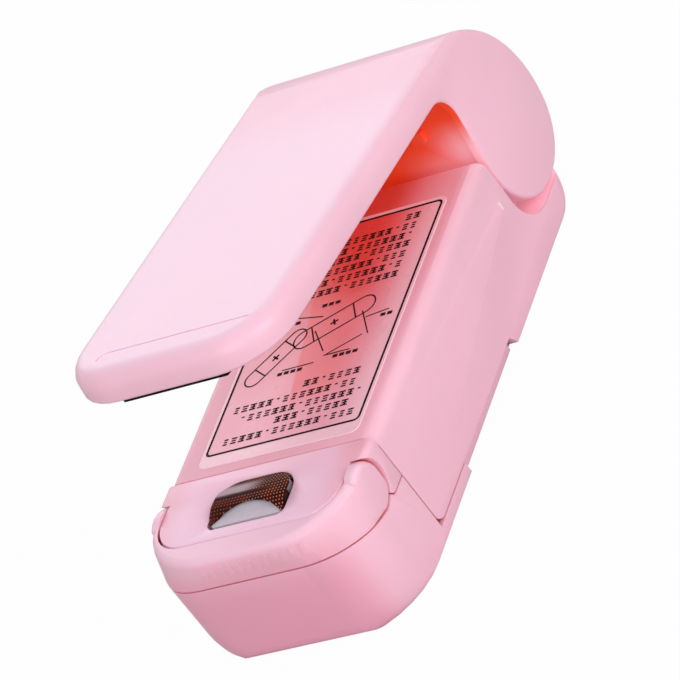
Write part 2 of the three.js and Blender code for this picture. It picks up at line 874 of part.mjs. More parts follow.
function contactPlate(x) {
  const rear = plateFront + plateThickness;
  const tabTop = bayWallHeight + seam + plateThickness;
  return alongX([
    [plateFront, plateFoot],
    [rear, plateFoot],
    [rear, tabTop],
    [bayFront - plateTab, tabTop],
    [bayFront - plateTab, tabTop - plateThickness],
    [plateFront, tabTop - plateThickness],
  ], x - plateHalf, x + plateHalf);
}

function makeBridgePlate() {
  return block(-cellX - plateHalf, cellX + plateHalf, bridgeFront, bridgeFront + plateThickness, plateFoot,
    bridgeTop);
}

function makeBatterySpring(side, front) {
  const geometry = coilSpring('battery_spring', cellSpringRadius, cellSpringWire, cellSpringLength,
    cellSpringCurls);
  geometry.rotateX(-Math.PI / 2);
  geometry.translate(side * cellX, front, cellZ);
  return geometry;
}

// Hinge pin and torsion spring

function makeHingePin() {
  return rodX(leverPivotY, leverPivotZ, hingePinRadius, -hingePinLength / 2, hingePinLength / 2, pinSides);
}

function leverSpringPoints() {
  const half = leverSpringPitch * leverSpringCurls / 2;
  const points = [];
  for (let step = 0; step <= leverSpringCurls * curlSteps; step += 1) {
    const angle = Math.PI / 2 + 2 * Math.PI * step / curlSteps;
    points.push(new THREE.Vector3(-half + leverSpringPitch * step / curlSteps,
      leverPivotY + leverSpringRadius * Math.cos(angle), leverPivotZ + leverSpringRadius * Math.sin(angle)));
  }
  const first = points[0];
  const last = points[points.length - 1];
  points.unshift(first.clone().setY(first.y + leverSpringLeg));
  points.push(last.clone().setY(last.y - leverSpringLeg));
  return points;
}

function makeLeverSpring() {
  const points = leverSpringPoints();
  reportLeastGap('lever_spring', points.slice(1, -1), leverSpringWire, leverSpringPitch);
  return tubeGeometry(points, leverSpringWire, springSides);
}

// Lever, in its own frame: pivot at the origin, rim parallel to Y, front towards -Y

function leverProfile(inset) {
  const lobe = lobeRadius - inset;
  const back = backRadius - inset;
  const backY = -(backRadius - lobeRadius) * Math.cos(backTilt);
  const backZ = (backRadius - lobeRadius) * Math.sin(backTilt);
  return [
    [-leverReach, rimLevel],
    [-lobe, rimLevel, throatFillet],
    ...arcCorners(0, 0, lobe, Math.PI, 2 * Math.PI - backTilt, lobeSteps),
    ...arcCorners(backY, backZ, back, -backTilt, Math.PI / 2, backSteps).slice(1),
    [-leverReach, plateTop - inset],
  ];
}

function leverPlan(inset) {
  const half = halfWidth - inset;
  return [
    [-half, inset - leverReach, leverCorner - inset],
    [half, inset - leverReach, leverCorner - inset],
    [half, backRadius],
    [-half, backRadius],
  ];
}

function leverUpperProfile() {
  const backY = -(backRadius - lobeRadius) * Math.cos(backTilt);
  const backZ = (backRadius - lobeRadius) * Math.sin(backTilt);
  return [
    [-leverReach - over, -lobeRadius - over],
    ...arcCorners(0, 0, lobeRadius, 3 * Math.PI / 2, 2 * Math.PI - backTilt, lobeSteps / 2),
    ...arcCorners(backY, backZ, backRadius, -backTilt, Math.PI / 2, backSteps).slice(1),
    [-leverReach - over, plateTop],
  ];
}

function leverLowerProfile() {
  return [
    [-leverReach - over, rimLevel],
    [-lobeRadius, rimLevel, throatFillet],
    ...arcCorners(0, 0, lobeRadius, Math.PI, 3 * Math.PI / 2, lobeSteps / 2),
    [backRadius + over, -lobeRadius - over],
    [backRadius + over, plateTop + over],
    [-leverReach - over, plateTop + over],
  ];
}

function leverShell() {
  const upper = alongX(leverUpperProfile(), -halfWidth, halfWidth, leverSideDrop, leverSideAcross,
    roundSteps);
  const lower = alongX(leverLowerProfile(), -halfWidth, halfWidth, leverRimEdge, leverRimEdge);
  const plan = alongZ(leverPlan(0), -lobeRadius - over, plateTop, leverTopRound, leverTopRound, roundSteps);
  const tipRim = alongZ(leverPlan(0), rimLevel, plateTop + over, leverRimEdge, leverRimEdge);
  const lobeSide = block(-bodyWidth, bodyWidth, -lobeRadius - throatFillet, backRadius + over,
    -lobeRadius - over, plateTop + over);
  const outer = upper.intersect(lower).intersect(plan).intersect(tipRim.add(lobeSide));
  const barrelFront = -lobeRadius + barrelSetback;
  const tray = alongZ(leverPlan(leverWall), -lobeRadius - over, plateUnder)
    .intersect(block(-leverInner, leverInner, -leverReach, barrelFront, -lobeRadius - over, plateUnder));
  const barrel = alongX(leverProfile(leverWall), -leverInner, leverInner)
    .intersect(block(-leverInner, leverInner, barrelFront + leverWall, backRadius, -lobeRadius, plateTop));
  const slot = block(-barrelSlotHalf, barrelSlotHalf, -barrelSlotReach, barrelSlotReach,
    -lobeRadius - over, -barrelSlotRise);
  return cut(outer, [tray, barrel, slot]);
}

function padStops() {
  const rear = padWidth - padFrontReach;
  const half = padLength / 2;
  const low = plateUnder - padStopDepth;
  const cross = block(-half - seam - padStopWall, half + seam + padStopWall, rear + seam,
    rear + seam + padStopWall, low, plateUnder + leverWall / 2);
  const ends = bothSides((side) => sideBlock(side, half + seam, half + seam + padStopWall,
    -leverReach + leverWall - seat, rear + seam + padStopWall, low, plateUnder + leverWall / 2));
  return cross.add(ends);
}

// Thin groove across the lever's end, hooked forward at its left end

function thumbGroove() {
  const bendY = -thumbLine - thumbGrooveBend;
  const outer = thumbGrooveBend + thumbGrooveWidth / 2;
  const inner = thumbGrooveBend - thumbGrooveWidth / 2;
  return alongZ([
    [thumbGrooveRight, bendY + inner],
    [thumbGrooveRight, bendY + outer],
    ...arcCorners(thumbGrooveLeft, bendY, outer, Math.PI / 2, Math.PI, cornerSteps),
    ...arcCorners(thumbGrooveLeft, bendY, inner, Math.PI, Math.PI / 2, cornerSteps),
  ], plateTop - thumbGrooveDepth, plateTop + over);
}

function barrelStop(side) {
  const wall = barrelSetback - lobeRadius;
  return sideBlock(side, barrelStopX, barrelStopX + barrelStopLength, wall - barrelStopProud,
    wall + leverWall / 2, barrelStopBottom, barrelStopBottom + barrelStopHeight);
}

function makeLever() {
  const ribs = bothSides((side) => sideBlock(side, ribX, ribX + ribWall, -(leverReach - leverWall - padWidth),
    -ribRear, plateUnder - ribDepth, plateUnder + leverWall / 2));
  const bosses = bothSides((side) => sideRodX(side, 0, 0, bossRadius, bossInner, leverInner + leverWall / 2,
    pinSides));
  const bores = bothSides((side) => sideRodX(side, 0, 0, hingePinRadius + turnGap, bossInner - over,
    hingePinLength / 2 + seam, pinSides));
  const stops = bothSides(barrelStop);
  return cut(joined([leverShell(), padStops(), ribs, bosses, stops]), [thumbGroove(), bores]);
}

function makeRubberPad() {
  const front = -padFrontReach;
  const rear = front + padWidth;
  const low = rimLevel - padProud;
  return alongX([
    [front, low],
    [rear, low - padWidth * Math.tan(padTilt)],
    [rear, plateUnder - seam],
    [front, plateUnder - seam],
  ], -padLength / 2, padLength / 2);
}

// Heating element

function makeCarriage() {
  const flange = block(-flangeLength / 2, flangeLength / 2, windowY - flangeDepth / 2,
    windowY + flangeDepth / 2, flangeBottom, flangeTop);
  const neck = inWindow(neckGap, flangeBottom, neckTop);
  const boss = block(-switchPostLength / 2, switchPostLength / 2, switchY - contactWidth / 2,
    switchY + contactWidth / 2, movingContactBottom + contactThickness + seat, flangeTop);
  const slots = bothSides((side) => sideBlock(side, terminalX - ribbonThickness / 2 - seam,
    terminalX + ribbonThickness / 2 + seam, ridgeY - ribbonWidth / 2 - seam, ridgeY + ribbonWidth / 2 + seam,
    flangeBottom - over, neckTop + over));
  return cut(joined([flange, neck, boss]), [slots]);
}

function ridgeProfile(lift) {
  const foot = ridgeFootWidth / 2;
  const top = ridgeTopWidth / 2;
  const step = baseBottom + baseStep;
  return [
    [ridgeY - foot - lift, step + lift],
    [ridgeY - top - lift / 2, ridgeTop + lift],
    [ridgeY + top + lift / 2, ridgeTop + lift],
    [ridgeY + foot + lift, step + lift],
  ];
}

function makeHeaterBase() {
  const slab = inWindow(baseGap, baseBottom, baseBottom + baseStep);
  const ridge = alongX([
    [ridgeY - ridgeFootWidth / 2, baseBottom],
    ...ridgeProfile(0),
    [ridgeY + ridgeFootWidth / 2, baseBottom],
  ].reverse(), -windowLength / 2, windowLength / 2);
  return slab.add(ridge.intersect(inWindow(baseGap, baseBottom, bodyHeight + over)));
}

function makeRibbon() {
  const outer = block(-terminalX - ribbonThickness / 2, terminalX + ribbonThickness / 2,
    ridgeY - ribbonWidth / 2, ridgeY + ribbonWidth / 2, flangeBottom, ribbonTop);
  const inner = block(-terminalX + ribbonThickness / 2, terminalX - ribbonThickness / 2, ridgeY - ribbonWidth,
    ridgeY + ribbonWidth, flangeBottom - over, ribbonTop - ribbonThickness);
  return outer.subtract(inner);
}

function makeCloth() {
  const lift = clothUnder - ridgeTop;
  const under = ridgeProfile(lift);
  const top = ridgeProfile(lift + clothThickness);
  const step = baseBottom + baseStep + seat;
  const rear = windowY + windowDepth / 2;
  const profile = [
    [clothFront, step],
    [under[0][0] - lift, step],
    ...under,
    [rear, step],
    [rear, step + clothThickness],
    ...top.reverse(),
    [under[0][0] - lift, step + clothThickness],
    [clothFront, step + clothThickness],
  ];
  const sheet = alongX(profile.reverse(), -windowLength / 2, windowLength / 2)
    .intersect(inWindow(clothGap, baseBottom, bodyHeight + over));
  const arch = rodZ(0, clothFront + clothArchRise - clothArchRadius, clothArchRadius, baseBottom,
    bodyHeight + over, turnSteps);
  return sheet.subtract(arch);
}

function makeTerminal(side) {
  return sideBlock(side, terminalX - terminalLength / 2, terminalX + terminalLength / 2,
    ridgeY - terminalFront, ridgeY + terminalRear, terminalTop - terminalHeight, terminalTop);
}

function makeHeaterSpring(x) {
  const length = flangeBottom - seam - springPostHeight - seam;
  const geometry = coilSpring('heater_spring', heaterSpringRadius, heaterSpringWire, length,
    heaterSpringCurls);
  geometry.translate(x, heaterSpringY, springPostHeight + seam);
  return geometry;
}

// Switch contacts

function makeFixedContact() {
  const right = switchPostLength / 2;
  return block(right - fixedContactLength, right, switchY - contactWidth / 2, switchY + contactWidth / 2,
    switchPostHeight + seat, switchTop);
}

function makeMovingContact() {
  return block(-terminalX - terminalLength / 2, movingContactInner, switchY - contactWidth / 2,
    switchY + contactWidth / 2, movingContactBottom, movingContactBottom + contactThickness);
}

// Wires

function wireGeometry(corners) {
  const curve = new THREE.CatmullRomCurve3(corners.map((corner) => new THREE.Vector3(...corner)));
  return tubeGeometry(curve.getPoints(wireSteps), wireRadius, wireSides);
}

function makePositiveWire() {
  const contactLeft = switchPostLength / 2 - fixedContactLength + seam;
  const middle = (wireFloor + switchPostHeight) / 2;
  return wireGeometry([
    [-wireX, wireDropY, bayWallHeight],
    [-wireX, wireDropY, middle],
    [-wireX, heaterSpringY, wireFloor],
    [-wireX, switchY, wireFloor],
    [contactLeft, switchY, middle],
    [contactLeft, switchY, switchPostHeight - seam],
  ]);
}

function makeNegativeWire() {
  const middle = (wireFloor + switchPostHeight) / 2;
  const beside = terminalX + terminalLength / 2 + seam + wireRadius;
  return wireGeometry([
    [wireX, wireDropY, bayWallHeight],
    [wireX, wireDropY, middle],
    [beside, (wireDropY + ridgeY) / 2, wireFloor],
    [beside, ridgeY, middle],
    [beside, ridgeY, terminalTop - heaterTravel],
  ]);
}

// Materials

function material(color, roughness, metalness) {
  return new THREE.MeshStandardMaterial({ color, roughness, metalness });
}

const caseColour = 0xf3c0d2;
const blackColour = 0x1b1314;
const filmColour = 0xf6d3df;
const clothColour = 0x5a2412;
const siliconeColour = 0xcfcad6;
const carrierColour = 0x2a1c18;
const steelColour = 0xb9bcc2;
const brassColour = 0xc9a452;
const ribbonColour = 0x8d8a88;
const cellColour = 0x3c6f9e;
const redColour = 0xc23a2c;

const pink = () => material(caseColour, 0.35, 0);
const rubber = () => material(blackColour, 0.8, 0);
const film = () => material(filmColour, 0.3, 0);
const glassCloth = () => material(clothColour, 0.5, 0);
const silicone = () => material(siliconeColour, 0.6, 0);
const carrier = () => material(carrierColour, 0.6, 0);
const steel = () => material(steelColour, 0.3, 1);
const brass = () => material(brassColour, 0.35, 1);
const nichrome = () => material(ribbonColour, 0.4, 1);
const cellWrap = () => material(cellColour, 0.4, 0);
const redWire = () => material(redColour, 0.5, 0);
const blackWire = () => material(blackColour, 0.5, 0);

// Assembly

const part = new THREE.Group();
const leverGroup = new THREE.Group();
leverGroup.position.set(0, leverPivotY, leverPivotZ);
leverGroup.rotation.x = -openAngle;
part.add(leverGroup);

function place(group, name, shape, look) {
  const geometry = shape.isBufferGeometry ? shape : geometryOf(shape);
  const mesh = new THREE.Mesh(geometry, look);
  mesh.name = name;
  group.add(mesh);
}

place(part, 'lower_case', makeLowerCase(), pink());
place(part, 'upper_case', makeUpperCase(), pink());
place(part, 'instruction_label', makeLabel(), film());
place(part, 'heater_panel', makeHeaterPanel(), pink());
place(part, 'safety_guard', makeSafetyGuard(), pink());
place(part, 'guard_pin_left', makeGuardPin(-1), steel());
place(part, 'guard_pin_right', makeGuardPin(1), steel());
place(leverGroup, 'lever', makeLever(), pink());
place(leverGroup, 'rubber_pad', makeRubberPad(), rubber());
place(part, 'hinge_pin', makeHingePin(), steel());
place(part, 'lever_spring', makeLeverSpring(), steel());
place(part, 'heater_carriage', makeCarriage(), carrier());
place(part, 'heater_base', makeHeaterBase(), silicone());
place(part, 'heater_ribbon', makeRibbon(), nichrome());
place(part, 'heater_cloth', makeCloth(), glassCloth());
place(part, 'ribbon_terminal_left', makeTerminal(-1), brass());
place(part, 'ribbon_terminal_right', makeTerminal(1), brass());
place(part, 'heater_spring_left', makeHeaterSpring(-heaterSpringX), steel());
place(part, 'heater_spring_right', makeHeaterSpring(heaterSpringX), steel());
place(part, 'switch_contact_fixed', makeFixedContact(), brass());
place(part, 'switch_contact_moving', makeMovingContact(), brass());
place(part, 'contact_plate_positive', contactPlate(-cellX), steel());
place(part, 'contact_plate_negative', contactPlate(cellX), steel());
place(part, 'bridge_plate', makeBridgePlate(), steel());
place(part, 'battery_spring_rear', makeBatterySpring(-1, bridgeFront - seam - cellSpringLength), steel());
place(part, 'battery_spring_front', makeBatterySpring(1, cellFront), steel());
place(part, 'battery_left', makeCell(-1, cellFront, true), cellWrap());
place(part, 'battery_right', makeCell(1, sprungCellFront, false), cellWrap());
place(part, 'battery_door', makeBatteryDoor(), pink());
place(part, 'wire_positive', makePositiveWire(), redWire());
place(part, 'wire_negative', makeNegativeWire(), blackWire());
place(part, 'screw_front_left', makeScrew(-frontScrewX, frontScrewY, frontScrewLength), steel());
place(part, 'screw_front_right', makeScrew(frontScrewX, frontScrewY, frontScrewLength), steel());
place(part, 'screw_rear_left', makeScrew(-rearScrewX, leverPivotY, rearScrewLength), steel());
place(part, 'screw_rear_right', makeScrew(rearScrewX, leverPivotY, rearScrewLength), steel());

export default part;
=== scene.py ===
import math

import bmesh
import bpy
from mathutils import Matrix, Vector


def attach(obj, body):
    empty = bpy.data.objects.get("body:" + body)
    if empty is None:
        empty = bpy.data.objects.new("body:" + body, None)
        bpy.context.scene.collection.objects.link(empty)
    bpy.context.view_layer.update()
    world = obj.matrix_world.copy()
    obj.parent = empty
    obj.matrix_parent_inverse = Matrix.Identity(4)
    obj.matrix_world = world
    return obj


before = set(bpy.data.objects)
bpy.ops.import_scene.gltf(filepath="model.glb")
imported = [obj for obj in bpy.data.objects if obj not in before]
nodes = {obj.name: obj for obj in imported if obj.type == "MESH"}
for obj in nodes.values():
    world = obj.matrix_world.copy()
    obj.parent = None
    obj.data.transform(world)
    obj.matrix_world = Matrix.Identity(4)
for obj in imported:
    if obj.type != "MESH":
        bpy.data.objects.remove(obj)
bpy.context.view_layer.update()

MM = 0.001

# Camera

CAMERA_PLACE = (0.4548, -0.5261, 0.4254)
CAMERA_RIGHT = (0.8005, 0.2768, -0.5316)
CAMERA_UP = (0.2104, 0.7007, 0.6817)
LENS = 270.05

# Places taken from the CAD part, in metres

BODY_TOP = 22.7 * MM
HALF_WIDTH = 20 * MM
LEVER_PIVOT = Vector((0, 50.9 * MM, 17.6 * MM))
LEVER_OPEN = math.radians(9.4)
LEVER_INSIDE_TOP = 19.3 * MM
HOLLOW_REAR = -11 * MM
THROAT_TOP = 15.4 * MM
THROAT_HALF = 19.6 * MM
THROAT_FRONT = -17 * MM
TRAY_CORNER = 9 * MM
TRAY_CORNER_X = 9.5 * MM
TRAY_CORNER_Y = -76.2 * MM
LABEL_TOP = 22.85 * MM
RIDGE_Y = -32.1 * MM

# Sizes of the looks: noise scales are per metre, lengths in metres

CLOUD_SCALE = 60
FINE_FLECK_SCALE = 2200
FLECK_SCALE = 1500
BRUSH_SCALE = 900
PATCH_SCALE = 420
SCUFF_SCALE = 500
WAVE_SCALE = 140
# Reach of the painted shade in seams
SEAM_SHADE_REACH = 1.3 * MM
THREAD_PITCH = 1.2 * MM
MIRROR_SLOPE = 0.147
# Strengths of the painted glow in the lever's hollow and the cover's cradle
LEVER_GLOW = 0.17
CRADLE_GLOW = 0.35

# Printed frame on the label

FRAME_LEFT = -14 * MM
FRAME_RIGHT = 16.1 * MM
FRAME_FRONT = -20.15 * MM
FRAME_REAR = 29.6 * MM
FRAME_LINE = 0.42 * MM
FRAME_CORNER = 1.1 * MM
FRAME_INNER_CORNER = 0.7 * MM
INK_LOW = LABEL_TOP - 0.02 * MM
INK_HIGH = LABEL_TOP + 0.03 * MM

# Printed rows: y, left end and right end, in millimetres

TEXT_ROWS = (
    (27.2, 8.4, 12.4),
    (24.9, -12.4, 12.4),
    (22.7, -12.4, 12.4),
    (20.6, -12.4, 12.4),
    (18.2, -12.4, 12.4),
    (15.9, -12.4, 12.4),
    (13.6, -12.4, 12.4),
    (-8.0, 1.0, 12.4),
    (-10.5, -12.6, 12.4),
    (-12.9, -10.3, 14.4),
    (-15.1, -2.6, 12.4),
    (-17.6, -12.6, 14.4),
)
TEXT_PITCH = 1.62

# Widths of the groups of bars in the rows, and each bar's height, share of that width, and stroke

GROUP_WIDTHS = (1.2, 0.95, 1.25, 0.8, 1.15, 1.05)
GROUP_BARS = ((0.52, 1.0, 0.32), (-0.02, 0.8, 0.28), (-0.55, 1.0, 0.32))

# Dry cells in the picture: x, y, length and width in millimetres, and turn in degrees

PICTURE_CELLS = ((-7.2, 0.2, 13.4, 3.7, 52), (2.6, 5.4, 15.6, 4.4, 25))
PICTURE_LINE = 0.26

# Leader lines in the picture: x, y and length in millimetres, and turn in degrees

LEADERS = (
    (9.3, 3.4, 6.6, -63),
    (6.4, -0.9, 7.2, 24),
    (0.9, 1.6, 6.4, -58),
    (11.2, 4.9, 4.4, 8),
    (-1.6, -3.4, 6.2, 0),
    (5.9, -2.3, 4.6, 0),
    (-3.0, 8.1, 5.4, -12),
)

# Rows of blocks by the leader lines: x, y and length in millimetres

CAPTIONS = (
    (13.2, 4.1, 2.6),
    (8.2, -3.1, 6.4),
    (-2.4, -4.2, 6.2),
    (-5.5, 7.5, 1.0),
    (0.6, 10.2, 4.4),
)
CAPTION_PITCH = 1.3

# Smoothing and rounding of the imported meshes

WELD_DISTANCE = 0.002 * MM
SMOOTH_ANGLE = math.radians(32)
FLAT_ANGLE = math.radians(0.4)
ROUNDING_ANGLE = math.radians(40)
SOFT_EDGES = {
    "lower_case": 0.7 * MM,
    "upper_case": 0.3 * MM,
    "heater_panel": 0.25 * MM,
    "battery_door": 0.2 * MM,
}

# Stage: the floor, the world, and the lights with their place, aim, size, power in watts and colour

FLOOR_HALF = 3
FLOOR_HEIGHT = -0.2 * MM
FLOOR_GREY = (0.55, 0.55, 0.55)
FLOOR_WHITE_SHARE = 0.98
WORLD_LIGHT = 0.56
LIGHTS = {
    "rear_glow": ((-0.75, 1.05, 0.46), (0, 0, 0.03), (1.2, 0.7), 4.2, (0.94, 0.95, 1.0)),
    "side_fill": ((1.1, -0.15, 0.5), (0, 0, 0.02), (0.9, 0.7), 5.7, (1, 1, 1)),
    "front_fill": ((0.35, -1.25, 0.75), (0, 0, 0.02), (1.1, 0.8), 5.6, (1, 1, 1)),
}


def make_camera():
    data = bpy.data.cameras.new("camera")
    data.sensor_width = 36
    data.lens = LENS
    data.clip_start = 0.01
    camera = bpy.data.objects.new("camera", data)
    bpy.context.scene.collection.objects.link(camera)
    right = Vector(CAMERA_RIGHT).normalized()
    up = Vector(CAMERA_UP)
    up = (up - up.dot(right) * right).normalized()
    back = right.cross(up)
    turn = Matrix((right, up, back)).transposed()
    camera.matrix_world = Matrix.Translation(CAMERA_PLACE) @ turn.to_4x4()
    bpy.context.scene.camera = camera


# Material helpers


class Shade:
    """A material with a Principled shader and short calls for its nodes."""

    def __init__(self, name, colour, roughness, **sockets):
        self.material = bpy.data.materials.new(name)
        self.material.use_nodes = True
        self.nodes = self.material.node_tree.nodes
        self.links = self.material.node_tree.links
        self.shader = self.nodes["Principled BSDF"]
        self.place = None
        self.set("Base Color", (*colour, 1))
        self.set("Roughness", roughness)
        for socket, value in sockets.items():
            self.set(socket.replace("_", " "), value)

    def set(self, socket, value):
        self.shader.inputs[socket].default_value = value

    def link(self, output, socket):
        self.links.new(output, self.shader.inputs[socket])

    def add(self, kind, links=(), **values):
        node = self.nodes.new("ShaderNode" + kind)
        for key, value in values.items():
            setattr(node, key, value)
        for key, value in dict(links).items():
            if isinstance(value, bpy.types.NodeSocket):
                self.links.new(value, node.inputs[key])
            else:
                node.inputs[key].default_value = value
        return node

    def object_place(self):
        """Place on the piece at rest, which is also its place in the scene."""
        if self.place is None:
            self.place = self.add("TexCoord").outputs["Object"]
        return self.place

    def noise(self, scale, detail, stretch=(1, 1, 1)):
        place = self.object_place()
        if stretch != (1, 1, 1):
            place = self.add("Mapping", {"Vector": place, "Scale": stretch}).outputs[0]
        return self.add("TexNoise", {"Vector": place, "Scale": scale, "Detail": detail}).outputs["Fac"]

    def band(self, value, low, high, low_out=0, high_out=1):
        """Soft step from low_out, where the value is low, to high_out, where it is high."""
        node = self.add("MapRange", {0: value, 1: low, 2: high, 3: low_out, 4: high_out})
        node.interpolation_type = "SMOOTHSTEP"
        return node.outputs[0]

    def maths(self, operation, a, b=0.0):
        return self.add("Math", {0: a, 1: b}, operation=operation).outputs[0]

    def absolute(self, value):
        return self.maths("ABSOLUTE", value)

    def larger(self, a, b):
        return self.maths("MAXIMUM", a, b)

    def below(self, value, limit):
        return self.maths("LESS_THAN", value, limit)

    def product(self, *values):
        whole = values[0]
        for value in values[1:]:
            whole = self.maths("MULTIPLY", whole, value)
        return whole

    def mix(self, share, a, b):
        node = self.add("Mix", data_type="RGBA")
        for key, value in ((0, share), (6, a), (7, b)):
            if isinstance(value, bpy.types.NodeSocket):
                self.links.new(value, node.inputs[key])
            elif key == 0:
                node.inputs[key].default_value = value
            else:
                node.inputs[key].default_value = (*value, 1)
        return node.outputs[2]

    def axes(self, place=None):
        """X, Y and Z of a place."""
        return self.add("SeparateXYZ", {0: place or self.object_place()}).outputs[:3]

    def crevice(self, distance):
        """Share of nearby cover, 0 in the open and 1 deep in a seam."""
        node = self.add("AmbientOcclusion", {"Distance": distance}, samples=8)
        return self.maths("SUBTRACT", 1.0, node.outputs["AO"])

    def bump(self, height, strength, distance):
        node = self.add("Bump", {"Height": height, "Strength": strength, "Distance": distance})
        self.link(node.outputs[0], "Normal")

    def grain(self, pattern, low, high):
        """Roughness that follows a pattern."""
        self.link(self.band(pattern, 0.3, 0.7, low, high), "Roughness")


def srgb(red, green, blue):
    """Linear colour of an 8-bit display colour."""
    shares = (red / 255, green / 255, blue / 255)
    return tuple(s / 12.92 if s <= 0.04045 else ((s + 0.055) / 1.055) ** 2.4 for s in shares)


# Colours

PINK = srgb(251, 194, 213)
LEVER_PINK = srgb(252, 197, 216)
# Painted pale sheen on the lever's top
LEVER_TOP_SHEEN_PINK = srgb(251, 214, 233)
# Painted reddish shade in the lever's seams
LEVER_SEAM_SHADE_PINK = srgb(238, 176, 194)
# Painted shade on the fronts of the nose and the guard
NOSE_FRONT_SHADE_PINK = srgb(242, 166, 190)
GUARD_FRONT_SHADE_PINK = srgb(242, 168, 190)
# Painted highlight on the guard's top edge
GUARD_EDGE_HIGHLIGHT_PINK = srgb(255, 218, 238)
# Painted light on the middle of the panel
PANEL_LIT_PINK = srgb(255, 214, 237)
# Painted glints on the cover's nubs
NUB_GLINT_PINK = srgb(254, 226, 238)
# Painted reddish shade in seams
SEAM_SHADE_RED = srgb(246, 112, 120)
# Painted red light from the lever on the cover's rear, and painted glow in the cradle and the lever's
# hollow
WARM_LIGHT_RED = srgb(238, 138, 144)
PALE_GLOW_RED = srgb(250, 190, 200)
DEEP_LIGHT_RED = srgb(228, 92, 82)
GLOW_RED = srgb(240, 76, 34)

LABEL_PINK = srgb(248, 190, 207)
# Painted light on the label's right side and margin, painted shade cast by the lever, a painted reflection
# and painted red light
LABEL_SIDE_LIT_PINK = srgb(255, 216, 230)
LABEL_MARGIN_LIT_PINK = srgb(255, 222, 236)
LABEL_CAST_SHADE = srgb(243, 162, 175)
LABEL_MIRROR = srgb(246, 140, 148)
LABEL_RED_LIGHT = srgb(238, 94, 88)
INK = srgb(34, 8, 12)

CLOTH_BROWN = srgb(84, 18, 6)
CLOTH_DARK = srgb(38, 10, 6)
CLOTH_DOT = srgb(226, 160, 120)
# Painted sheen and painted crease shade on the cloth
CLOTH_SHEEN = srgb(206, 190, 200)
CLOTH_CREASE_SHADE = srgb(30, 14, 14)
BAR_PALE = srgb(218, 212, 226)
BAR_GREY = srgb(200, 194, 208)
# Painted shade at the ends of the heater bar
BAR_END_SHADE = srgb(40, 20, 18)

STEEL = (0.62, 0.63, 0.65)
BRASS = (0.72, 0.52, 0.22)
NICHROME = (0.4, 0.39, 0.38)
CARRIER_BROWN = srgb(46, 26, 22)
RUBBER_BLACK = srgb(14, 9, 10)
WRAP_BLUE = srgb(60, 110, 160)
WRAP_SILVER = srgb(205, 208, 214)
SLEEVE_RED = srgb(190, 40, 34)
SLEEVE_BLACK = srgb(28, 26, 26)


# Materials


def scaled(colour, share):
    return tuple(value * share for value in colour)


def pink_shade(name, colour=PINK, seam_shade_colour=SEAM_SHADE_RED):
    """Moulded plastic: cloudy tone, fine grain, and painted reddish shade in its seams."""
    shade = Shade(name, colour, 0.36, Subsurface_Weight=0.1, Subsurface_Scale=2 * MM)
    shade.set("Subsurface Radius", (1.0, 0.35, 0.4))
    shade.set("IOR", 1.48)
    cloud = shade.noise(CLOUD_SCALE, 3)
    fleck = shade.noise(FINE_FLECK_SCALE, 2)
    tone = shade.mix(shade.band(cloud, 0.35, 0.65), colour, scaled(colour, 0.97))
    # Painted reddish shade in seams, where nearby parts cover the surface
    seam = shade.band(shade.crevice(SEAM_SHADE_REACH), 0.6, 0.98)
    shade.tone = shade.mix(seam, tone, seam_shade_colour)
    shade.link(shade.tone, "Base Color")
    shade.grain(fleck, 0.32, 0.42)
    shade.bump(fleck, 0.12, 0.03 * MM)
    return shade


def lever_place(shade):
    """Place from the lever's pivot, with the lever turned level."""
    start = {0: shade.object_place(), 1: tuple(-LEVER_PIVOT)}
    moved = shade.add("VectorMath", start, operation="ADD").outputs[0]
    turn = {"Vector": moved, "Angle": LEVER_OPEN}
    return shade.add("VectorRotate", turn, rotation_type="X_AXIS").outputs[0]


def lever_hollow(shade, aside, y, z):
    """1 on the inside of the lever's tray and of the throat before its lobe, 0 outside."""
    past_side = shade.larger(shade.maths("SUBTRACT", aside, TRAY_CORNER_X), 0.0)
    past_front = shade.larger(shade.maths("SUBTRACT", TRAY_CORNER_Y, y), 0.0)
    squares = shade.maths("ADD", shade.product(past_side, past_side), shade.product(past_front, past_front))
    before_lobe = shade.below(y, HOLLOW_REAR)
    tray = shade.product(
        shade.below(shade.maths("SQRT", squares), TRAY_CORNER),
        shade.below(z, LEVER_INSIDE_TOP),
        before_lobe,
    )
    throat = shade.product(
        shade.below(aside, THROAT_HALF),
        shade.below(z, THROAT_TOP),
        before_lobe,
        shade.maths("GREATER_THAN", y, THROAT_FRONT),
    )
    return shade.larger(tray, throat)


def lever_pink():
    """The lever's plastic: painted red glow in its hollow, painted paler light low in the throat and by its
    sides, and a painted pale sheen on its top.
    """
    shade = pink_shade("lever_plastic", LEVER_PINK, LEVER_SEAM_SHADE_PINK)
    x, y, z = shade.axes(lever_place(shade))
    aside = shade.absolute(x)
    # Painted red glow in the hollow, stronger towards the hinge
    depth = shade.band(y, -60 * MM, -12 * MM, 0.3, 1.0)
    share = shade.product(lever_hollow(shade, aside, y, z), depth)
    # Painted paler light low in the throat and by its sides
    wall = shade.band(y, -14 * MM, -13 * MM)
    low = shade.product(wall, shade.band(aside, 2 * MM, 14 * MM), shade.band(z, 7 * MM, 0, 0, 0.75))
    beside = shade.product(wall, shade.band(aside, 9 * MM, 18 * MM), shade.band(z, 10.5 * MM, 3.5 * MM))
    warm_glow = shade.mix(shade.larger(low, beside), GLOW_RED, PALE_GLOW_RED)
    # Painted pale sheen on the lever's top
    top = shade.product(shade.band(z, 19.6 * MM, 21.4 * MM), shade.band(y, -8 * MM, -30 * MM))
    tone = shade.mix(top, shade.tone, LEVER_TOP_SHEEN_PINK)
    shade.link(shade.mix(share, tone, warm_glow), "Base Color")
    shade.link(warm_glow, "Emission Color")
    shade.link(shade.product(share, LEVER_GLOW), "Emission Strength")
    return shade.material


